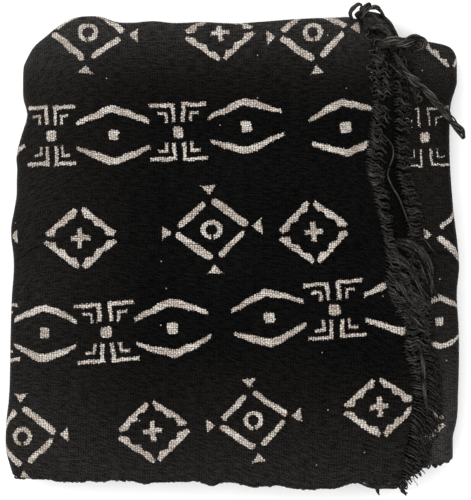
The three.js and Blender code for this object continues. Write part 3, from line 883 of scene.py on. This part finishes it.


# loose yarns are painted lighter on their upper side and darker below and at their sides, as painted light
# and shade, and carry a few flecks of the paint
def yarnFinish():
    material, wire, shader = newMaterial("looseWarp")
    u, v = wire.map("yarn")
    along = u * 1000
    ply = (u * yarn["twist"] * 2 + v * (2 * math.pi)).sine()
    fuzz = wire.noise(along, v * 3, yarn["noise"]["fuzz"], 3)
    upper = ((v * (2 * math.pi)).sine() * 3.0 - 2.0).clamped()
    slow = wire.noise(along, v * 0, yarn["noise"]["slow"], 1)
    run, shade = wire.map("run")
    # painted shade: each yarn is darker towards both ends, at its root where it leaves the cloth, times its
    # own and its group's shade
    shadedEnds = ((run * (1 - run) * 5.5).clamped() * 0.8 + 0.2) * shade
    tone = (upper * shadedEnds * (slow * 3.2 - 0.95) + ply * 0.05 + (fuzz * 0.3 - 0.1) * shade).clamped()
    colour = wire.mixed(tone, opaque(yarn["colours"][0]), opaque(yarn["colours"][1]))
    fleck = ((wire.noise(along, v * 2, yarn["noise"]["fleck"], 0) - 0.865) * 50).clamped()
    colour = wire.mixed(fleck, colour, opaque(yarn["fleck"]))
    relief = {"Strength": 1.0, "Distance": yarn["bump"], "Height": ply * 0.5 + fuzz}
    connect(wire, shader, Base_Color=colour, Normal=wire.node("ShaderNodeBump", {}, relief))
    shader.inputs["Roughness"].default_value = 0.9
    shader.inputs["Specular IOR Level"].default_value = 0.04
    shader.inputs["Sheen Weight"].default_value = yarn["sheen"]
    shader.inputs["Sheen Roughness"].default_value = 0.35
    return material


looseWarp = yarnFinish()

fringe = {
    "steps": 22,
    "under": {"pitch": 4.6, "steps": 9, "radius": 0.6},
    # y of the root, length, lean below the horizontal in degrees, how much it curls
    "outer": [(-145, 9, 58, 0.4), (-132, 16, 56, 0.35), (-112, 20, 54, 0.3), (-92, 19, 50, 0.35),
              (-76, 14, 40, 0.5), (-58, 11, 20, 0.7), (-36, 14, 12, 0.6), (-27, 17, 30, 0.8),
              (-11, 18, 40, 0.8), (4, 16, 34, 0.8), (12, 9, 20, 0.8), (32, 10, 8, 0.6),
              (51, 12, 4, 0.4), (68, 12, 2, 0.6), (84, 12, 4, 1.4), (104, 13, 0, 2.2),
              (118, 13, 0, 2.6), (130, 14, -14, 3.0), (148, 14, -34, 2.6)],
    "inner": [(-145, 8, 58, 0.4), (-128, 15, 56, 0.4), (-108, 18, 54, 0.45), (-92, 16, 52, 0.5),
              (-60, 10, 44, 0.8), (-46, 7, 30, 0.8), (-27, 14, 38, 0.8), (-11, 17, 46, 0.8),
              (7, 15, 38, 0.7), (17, 11, 6, 0.4), (32, 11, 2, 0.4), (51, 11, 0, 0.4), (76, 11, 0, 0.6),
              (97, 12, 6, 1.0), (119, 11, 0, 1.6), (145, 10, -10, 1.8)],
    "rib": {"outer": 1.9, "inner": 2.15},
    "ply": {"outer": 0.74, "inner": 0.8},
    "wave": {"height": 0.5, "length": 7.0},
    "strays": 0.34,
    # yarns that lean further than this lie straighter, finer and closer, over so many degrees
    "steep": (34.0, 16.0),
    "finer": 0.38,
    # painted shade: the inner end's yarns, which lie lower, and the yarns of the layers beneath are painted
    # darker
    "shade": {"outer": 0.62, "inner": 0.44, "under": 0.25},
    "strayPitch": 3.2,
    "strayLoose": 2.2,
    "strayShade": 1.3,
    # height of the upper face, and how far down the fringe lies past each end, from where and over how much
    "rest": {"top": 31.4, "outer": 4.7, "inner": 4.9, "from": 0.5, "over": 9},
    "hiddenShort": 0.8,
    "rows": (-143.6, 142.4),
    "tipDrop": 1.4,
}


# what the yarns lie on: the upper face, then the inner end's cloth, then the layer at the right
def restHeight(x, y):
    rest = fringe["rest"]
    pastOuter = x - endOfCloth("outer", y, 1) - rest["from"]
    pastInner = x - endOfCloth("inner", y, 4) - rest["from"]
    high = rest["top"] - rest["outer"] * ease(pastOuter / rest["over"])
    return high - rest["inner"] * ease(pastInner / rest["over"])


def steepness(lean):
    return ease((abs(lean) - fringe["steep"][0]) / fringe["steep"][1])


# a yarn runs on with a heading that leans more and more, and waves sideways in step with its neighbours
def fringePaths(end, layer, pitch, steps, visible, loose=1.0):
    first, last = fringe["rows"]
    rows = [first]
    while rows[-1] < last - pitch:
        lean = np.interp(rows[-1], [r[0] for r in fringe[end]], [r[2] for r in fringe[end]])
        fine = 1 - fringe["finer"] * steepness(lean)
        rows.append(rows[-1] + fine * pitch / math.cos(math.radians(min(abs(lean), 55))))
    ribs = np.array(rows) + dice.normal(0, 0.1 * pitch * loose, len(rows))
    columns = (smoothTable([(r[0], r[k]) for r in fringe[end]], ribs) for k in (1, 2, 3))
    length, lean, curl = (column[:, None] for column in columns)
    curl = curl * loose
    count = len(ribs)
    length = length * dice.normal(1, 0.07 * loose, (count, 1)) * (1 if visible else fringe["hiddenShort"])
    t = np.linspace(0, 1, steps)[None]
    steep = steepness(lean)
    drift = np.cumsum(dice.normal(0, 1, (count, steps)), 1) / math.sqrt(steps)
    drift = drift * 0.3 * curl * (1 - 0.4 * steep)
    common = 0.14 * waves(ribs, 0 * ribs, [31, 17, 52], 70 + layer)[:, None]
    heading = np.radians(lean) * (0.65 + 0.55 * t) + drift + common
    step = length / (steps - 1)
    phase = 1.5 * waves(ribs, 0 * ribs, [61, 34], 80 + layer)[:, None]
    phase = phase + dice.normal(0, 0.2 * loose, (count, 1))
    turns = 2 * math.pi * length * t / fringe["wave"]["length"]
    swing = fringe["wave"]["height"] * (0.6 + curl) * np.sin(turns + phase) * ease(t * 4) * (1 - 0.8 * steep)
    y0 = ribs[:, None]
    x0 = endOfCloth(end, y0, layer) - (dice.uniform(0.6, 1.6, (count, 1)) if visible else 0.3)
    x = x0 + np.cumsum(np.cos(heading) * step, 1) - step * np.cos(heading[:, :1]) + swing * np.sin(heading)
    y = y0 - np.cumsum(np.sin(heading) * step, 1) + step * np.sin(heading[:, :1]) + swing * np.cos(heading)
    if visible:
        above = dice.uniform(0, 0.7, (count, 1)) * loose * ease(t * 3)
        z = restHeight(x, y) + above + 0.2 * np.sin(turns + phase * 2)
        z = z - fringe["tipDrop"] * ease((t - 0.82) * 6) + (loose - 1) * 0.5
    else:
        level, facing = (11, 1) if end == "outer" else (9, -1)
        offsets = {1: section["outer"], 2: section["inner"], 3: -section["inner"], 4: -section["outer"]}
        own = level * route["halfBundle"] + facing * offsets[layer]
        z = np.minimum(own, restHeight(x, y) - 0.9) + 0 * x
    return np.stack([x, y, z], -1), 1 - fringe["finer"] * steep


# the radius of each yarn: full along it, falling with the fourth power towards its tip
def taper(count, steps, radius, tip=0.6, root=1.0):
    t = np.linspace(0, 1, steps)
    shape = radius * (1 - (1 - tip) * t ** 4) * (root + (1 - root) * ease(t * 5))
    return shape[None] * dice.uniform(0.82, 1.18, (count, 1))


# cloth corners are bent into the outline, and the fringe with them
def bentPaths(paths):
    return bendPacket(paths[..., 0], paths[..., 1], paths[..., 2])


# a smooth line through the rows of a table, parted evenly by length; every column goes along
def smoothPath(rows, steps):
    rows = np.array(rows, float)
    knots = np.concatenate([[0], np.cumsum(np.linalg.norm(np.diff(rows[:, :2], axis=0), axis=1))])
    t = np.linspace(0, knots[-1], steps)
    return np.stack([smoothTable(np.stack([knots, rows[:, k]], -1), t) for k in range(rows.shape[1])], -1)


# loose yarns between two lines drawn in the photo's pixels: each takes a share of both, and strays a little
sheaves = [
    # first line, last line, yarns, radius, stray, lift
    ([(398, 237), (412, 240), (422, 245), (430, 252), (434.5, 262), (435.4, 275), (434.5, 288),
      (436, 296)],
     [(392, 243), (404, 250), (414, 260), (421, 271), (426, 282), (430, 291), (434, 296),
      (438, 301)], 12, 0.66, 0.8, 1.6),
    ([(390, 244), (400, 252), (411, 262), (418, 273), (423, 284), (428, 292), (433, 299)],
     [(386, 254), (394, 262), (403, 268), (411, 276), (418, 286), (424, 296),
      (430, 303)], 10, 0.66, 0.5, 1.5),
    ([(387, 262), (395, 266), (403, 269), (410, 274), (413, 283), (414, 293), (419, 303), (427, 308)],
     [(388, 278), (394, 283), (399, 290), (404, 299), (411, 306), (420, 311)], 10, 0.62, 0.5, 1.2),
    ([(404, 284), (414, 290), (424, 296), (431, 301), (436, 306)],
     [(402, 292), (412, 299), (421, 305), (428, 309), (433, 312)], 10, 0.6, 0.5, 1.3),
    ([(402, 298), (411, 300), (421, 308), (427.5, 320), (431, 334), (434, 350)],
     [(404, 318), (410, 328), (417, 333), (424, 335), (430, 340), (433, 352)], 9, 0.62, 0.6, 1.1),
    ([(412, 336), (418, 345), (423, 355), (427, 367), (429, 380)],
     [(405, 340), (410, 350), (415, 362), (418, 374), (420, 386)], 8, 0.5, 0.7, 0.9),
    ([(409, 341), (415, 346), (420, 356), (422, 372), (423.5, 388), (426, 404), (428, 415)],
     [(412, 343), (417, 349), (422.5, 359), (425, 374), (426, 390), (428, 405),
      (429, 413)], 2, 1.05, 0.2, 2.2),
    ([(377, 128.7), (385, 136), (392.4, 145.6), (393.3, 155), (389.6, 166), (387.7, 174), (391.5, 185),
      (398, 196), (403.6, 209), (407.4, 220), (412, 230), (414.8, 239), (418, 250), (421, 262)],
     [(378.2, 129), (386, 137), (393.2, 146.4), (394, 155), (390.4, 166.6), (388.6, 174), (392.4, 185.6),
      (399, 196.6), (404.6, 209), (408.4, 220.4), (413, 230.4), (415.8, 239.4), (419, 250.4),
      (422, 262.4)], 2, 0.66, 0.1, 2.6),
    ([(409, 228), (417.6, 234.5), (427, 241), (433.5, 249.5), (438, 255)],
     [(409, 228), (417.6, 234.5), (427, 241), (433.5, 249.5), (438, 255)], 1, 0.3, 0, 1.6),
    ([(401, 49), (399.6, 53), (404.5, 57), (407, 62), (404, 66.6), (396, 69.4)],
     [(401, 49), (400, 53), (405, 57), (407, 62), (404, 67), (396, 69.6)], 1, 0.6, 0.1, 6.0),
    ([(384, 46), (387, 40), (392, 36), (398, 38), (401, 43)],
     [(381, 50), (383, 43), (387, 38), (392, 38), (396, 43)], 6, 0.5, 0.5, 2.4),
    ([(372, 44), (374, 38), (380, 35), (386, 38), (388, 46)],
     [(376, 54), (379, 47), (383, 43), (388, 45), (391, 52)], 7, 0.5, 0.7, 1.6),
    ([(356, 15), (364, 10), (373, 9), (382, 12), (390.5, 19), (397.5, 28.5)],
     [(366, 30), (372, 27), (379, 28), (386, 32), (392, 37), (397, 43)], 20, 0.62, 1.1, 1.2),
    ([(357, 16), (364, 12), (373, 11), (381, 13.5), (389.5, 20.5), (396.5, 30)],
     [(365, 30), (371, 27), (378, 28), (385, 32), (391, 37), (396, 43)], 16, 1.5, 0.4, -1.6),
    ([(408, 86), (412, 90), (415, 96), (415, 103)],
     [(418, 86), (421, 91), (423, 97), (422, 103)], 7, 0.6, 0.8, 1.4),
    ([(396, 58), (401, 64), (407, 72), (412, 78), (418, 83)],
     [(391, 66), (397, 73), (404, 79), (411, 83), (418, 86)], 9, 0.6, 0.9, 1.8),
    ([(453, 226), (455, 229), (457.5, 227), (458, 231), (456, 236)],
     [(454, 230), (456, 233), (457, 238), (455, 241), (453, 237)], 3, 0.3, 0.3, -8.0),
]
sheafLook = {"shade": 0.62, "stringShade": 1.05, "clump": 4, "tip": 0.5}


# yarns lie in clumps of about four; a clump strays as one, and its yarns a little more by themselves
def sheafPaths(first, last, yarns, stray, lift, steps):
    a, b = smoothPath(first, steps), smoothPath(last, steps)
    clumps = max(1, round(yarns / sheafLook["clump"]))
    clump = np.arange(yarns) * clumps // yarns
    share = ((clump + 0.5) / clumps + dice.normal(0, 0.2 / clumps, yarns))[:, None, None]
    pixels = a * (1 - share) + b * share
    t = np.linspace(0, 1, steps)[None]
    x = (pixels[..., 0] - view["foldZero"][0]) * view["pixel"]
    y = (view["foldZero"][1] - pixels[..., 1]) * view["pixel"]
    for k in range(1, 5):
        common, own = dice.uniform(0, 6.28, (2, clumps, 1)), dice.uniform(0, 6.28, (2, yarns, 1))
        for size, turn in ((0.9, common[:, clump]), (0.35, own)):
            x = x + stray * size / k ** 0.5 * np.sin(math.pi * k * t + turn[0])
            y = y + stray * size / k ** 0.5 * np.sin(math.pi * k * t + turn[1])
    heights = dice.uniform(-0.9, 0.9, (clumps, 1))[clump] + dice.uniform(-0.4, 0.4, (yarns, 1))
    lifted = lift * ease(t * 4) * (0.75 + 0.25 * np.cos(t * 3))
    z = restHeight(x, y) + lifted + heights * min(1, 1.2 * stray)
    return np.stack([x, y, z], -1) + view["shift"]


looseGroups = []
for first, last, yarns, radius, stray, lift in sheaves:
    steps = 10 + 4 * len(first)
    shade = sheafLook["stringShade"] if yarns < 3 else sheafLook["shade"]
    paths = sheafPaths(first, last, yarns, stray, lift, steps)
    looseGroups.append((paths, taper(yarns, steps, radius, sheafLook["tip"]), 6, shade))

for end, layers in (("outer", (1, 2, 3, 4)), ("inner", (4, 3, 2, 1))):
    for place, layer in enumerate(layers):
        visible = place == 0
        pitch = fringe["rib"][end] if visible else fringe["under"]["pitch"]
        steps = fringe["steps"] if visible else fringe["under"]["steps"]
        radius = fringe["ply"][end] if visible else fringe["under"]["radius"]
        shade = fringe["shade"][end if visible else "under"]
        paths, fine = fringePaths(end, layer, pitch, steps, visible)
        radii = taper(len(paths), steps, radius, 0.75, 0.35) * fine
        groups = [(bentPaths(paths), radii, 8 if visible else 5, shade)]
        if visible:
            wide = fringe["strayPitch"] * pitch
            strays, fine = fringePaths(end, layer, wide, steps, visible, fringe["strayLoose"])
            radii = taper(len(strays), steps, fringe["strays"]) * fine
            groups.append((bentPaths(strays), radii, 6, shade * fringe["strayShade"]))
        if visible and end == "outer":
            groups += looseGroups
        buildYarns(f"fringe{end.capitalize()}{layer}", groups, looseWarp, [f"fringe_{end}_{layer}"])
print("fringes built")

# locks: yarns wound round one path; rows of pixel x and y, height in millimetres and the lock's radius
locks = {
    "roll": {"turns": 0.7, "yarns": 16, "yarn": 0.62, "rows": [
        (378, 47, 31, 1.6), (385, 44, 32, 2.8), (393, 42.6, 32.5, 3.4), (402, 42.6, 32.5, 3.6),
        (411, 40.5, 32.5, 3.7), (418, 39.5, 32, 3.5), (423, 42.5, 31, 3.1), (422, 46, 30, 2.9),
        (416.5, 48, 29, 2.6), (411, 50, 28, 1.8)]},
    "twisted": {"turns": 1.8, "yarns": 12, "yarn": 0.58, "rows": [
        (394, 54, 31, 1.2), (401, 64, 31, 2.0), (408, 74, 30.5, 2.4), (417, 82, 29.5, 2.6),
        (425, 88, 28.5, 2.6), (433, 97, 27.5, 2.6), (441, 107, 26.5, 2.8), (449, 116, 26, 3.3),
        (457, 125, 25, 3.5), (462, 131.5, 24, 3.0), (465.5, 137.5, 23, 1.6)]},
    "claw": {"turns": 0.6, "yarns": 6, "yarn": 0.55, "rows": [
        (360, 19, 30, 1.4), (364, 12, 30, 1.9), (370, 7.5, 29.5, 2.0), (376, 6.5, 29, 1.7),
        (380.5, 8, 28.5, 0.9)]},
    "hook": {"turns": 0.6, "yarns": 5, "yarn": 0.5, "rows": [
        (359, 18, 28.5, 1.2), (362, 10, 27.5, 1.6), (366.5, 4.5, 26.5, 1.6), (370, 3, 26, 1.3),
        (372, 6, 25.5, 0.8)]},
    "loop": {"turns": 0.5, "yarns": 5, "yarn": 0.5, "rows": [
        (352, 19, 28.5, 1.3), (350.8, 12, 27, 1.6), (355, 6, 26, 1.7), (359.5, 2.8, 25.5, 1.4),
        (361.8, 4, 26, 1.0), (360.5, 9, 26.5, 0.8)]},
    "tuft": {"turns": 0.5, "yarns": 8, "yarn": 0.5, "rows": [
        (402, 478, 27, 1.2), (405, 486, 25, 2.2), (404, 492, 22, 2.4), (408, 496, 20, 1.2)]},
}
goldenShare = 0.382   # of a turn between one yarn and the next, which spreads them evenly
lowTuft = {"turns": 0.5, "yarns": 7, "yarn": 0.5, "rows": [
    (377, 480, 22, 0.8), (378, 487, 20, 1.5), (379, 492, 18, 1.6), (380.6, 497.5, 16, 0.5)]}


# yarns spread over the width of a lock wind round its path, and part a little towards its tip
def windYarns(lock, steps, seed):
    local = np.random.default_rng(seed)
    path, yarns = smoothPath(lock["rows"], steps), lock["yarns"]
    place = np.stack([(path[:, 0] - view["foldZero"][0]) * view["pixel"],
                      (view["foldZero"][1] - path[:, 1]) * view["pixel"], path[:, 2]], -1)
    thick = path[:, 3]
    along = np.gradient(place, axis=0)
    along /= np.linalg.norm(along, axis=1, keepdims=True)
    side = np.cross(along, (0, 0, 1.0))
    side /= np.linalg.norm(side, axis=1, keepdims=True) + 1e-9
    lift = np.cross(side, along)
    t = np.linspace(0, 1, steps)
    share = np.sqrt((np.arange(yarns) + 0.5) / yarns)[:, None]
    pace = local.uniform(0.5, 1.6, (yarns, 1))
    wander = 0.5 * np.sin(2 * math.pi * (pace * t + local.uniform(0, 1, (yarns, 1))))
    angle = 2 * math.pi * (lock["turns"] * t[None] + goldenShare * np.arange(yarns)[:, None]) + wander
    room = np.maximum(thick - lock["yarn"], 0.1)[None]
    breath = 1 + 0.3 * np.sin(2 * math.pi * (t + local.uniform(0, 1, (yarns, 1))))
    away = (share * room * breath)[..., None]
    out = away * (np.cos(angle)[..., None] * side + np.sin(angle)[..., None] * lift * 0.8)
    fray = local.normal(0, 1, (yarns, 1, 3)) * (ease((t - 0.85) * 6) * 0.22)[None, :, None]
    radius = lock["yarn"] * (1 - 0.3 * t ** 6)[None] * local.uniform(0.8, 1.2, (yarns, 1))
    return place[None] + out + fray + view["shift"], radius


lockLook = {"steps": 44, "seed": 40, "shade": 1.0}
lowTuftLook = {"steps": 24, "seed": 60, "shade": 0.85}
for k, (name, lock) in enumerate(locks.items()):
    groups = [(*windYarns(lock, lockLook["steps"], lockLook["seed"] + k), 7, lockLook["shade"])]
    if name == "tuft":
        tuftYarns = windYarns(lowTuft, lowTuftLook["steps"], lowTuftLook["seed"])
        groups.append((*tuftYarns, 7, lowTuftLook["shade"]))
    buildYarns("lock" + name.capitalize(), groups, looseWarp, ["lock_" + name])
print("locks built")

# the selvedge: where each weft thread turns back it makes a small loop
loops = {
    "plain": {"pitch": 2.5, "reach": (0.1, 0.9), "wide": 0.9},
    "ragged": {"pitch": 4.1, "reach": (0.4, 3.4), "wide": 0.5},
    # from x, to x, height in the packet, kind
    "rows": [(-136, 104, 30.5, "plain"), (104, 135, 20.1, "ragged"), (105.4, 135, 18.9, "ragged"),
             (74, 112, 28, "plain")],
    "edge": -144.8,
    "radius": 0.62,
    "steps": 7,
    "shade": 0.9,
}


# each loop is half a sine out from the edge, with its ends drawn together and its tip hanging a little
def selvedgeLoops(fromX, toX, height, kind):
    own = loops[kind]
    x0 = np.arange(fromX, toX, own["pitch"])[:, None]
    x0 = x0 + dice.normal(0, 0.3, x0.shape)
    t = np.linspace(0, 1, loops["steps"])[None]
    nearest, furthest = own["reach"]
    out = nearest + (furthest - nearest) * dice.uniform(0, 1, x0.shape) ** 1.6
    lean = dice.normal(0, 0.4, x0.shape)
    x = x0 + own["wide"] * (0.5 - np.cos(math.pi * t) / 2) * own["pitch"] + lean * np.sin(math.pi * t)
    y = loops["edge"] + selvedgeWave(x) - out * np.sin(math.pi * t)
    z = height + dice.uniform(-0.4, 0.2, x0.shape) - 0.3 * np.sin(math.pi * t)
    return bendPacket(x, y, z)


edgeGroups = []
for row in loops["rows"]:
    paths = selvedgeLoops(*row)
    edgeGroups.append((paths, np.full(paths.shape[:2], loops["radius"]), 6, loops["shade"]))
buildYarns("selvedgeLoops", edgeGroups, looseWarp, [])

# stage, light and camera
stage = {
    "floor": 0.93,
    "reach": 6.0,
    "below": 0.0004,
    "world": 1.38,
    "sensor": 36,
    # where each lamp stands, its size and its power
    "lamps": [((-1.1, 0.5, 1.3), 1.0, 14.0), ((1.0, -0.6, 1.7), 1.2, 3.0)],
}
floorMesh = bpy.data.meshes.new("floor")
reach, low = stage["reach"], -stage["below"]
corners = [(-reach, -reach, low), (reach, -reach, low), (reach, reach, low), (-reach, reach, low)]
floorMesh.from_pydata(corners, [], [(0, 1, 2, 3)])
floor = bpy.data.objects.new("floor", floorMesh)
bpy.context.scene.collection.objects.link(floor)
floorFinish, _, shader = newMaterial("paleFloor")
shader.inputs["Base Color"].default_value = (stage["floor"], stage["floor"], stage["floor"], 1)
shader.inputs["Roughness"].default_value = 1
shader.inputs["Specular IOR Level"].default_value = 0
floorMesh.materials.append(floorFinish)

world = bpy.data.worlds.new("softRoom")
bpy.context.scene.world = world
world.use_nodes = True
world.node_tree.nodes["Background"].inputs["Color"].default_value = (1, 1, 1, 1)
world.node_tree.nodes["Background"].inputs["Strength"].default_value = stage["world"]
for place, size, power in stage["lamps"]:
    lamp = bpy.data.lights.new("softLamp", "AREA")
    lamp.size, lamp.energy = size, power
    holder = bpy.data.objects.new("softLamp", lamp)
    holder.location = place
    direction = -np.array(place)
    holder.rotation_euler = (math.atan2(math.hypot(direction[0], direction[1]), -direction[2]), 0,
                             math.atan2(direction[1], direction[0]) - math.pi / 2)
    bpy.context.scene.collection.objects.link(holder)

camera = bpy.data.objects.new("camera", bpy.data.cameras.new("camera"))
bpy.context.scene.collection.objects.link(camera)
camera.location = (middleOfFrame[0] * 0.001, middleOfFrame[1] * 0.001, view["height"] * 0.001)
camera.data.sensor_width = stage["sensor"]
camera.data.lens = stage["sensor"] * (view["height"] - view["upperFace"]) / (view["frame"][1] * view["pixel"])
bpy.context.scene.camera = camera
bpy.context.scene.view_settings.view_transform = "Standard"
print("stage set")
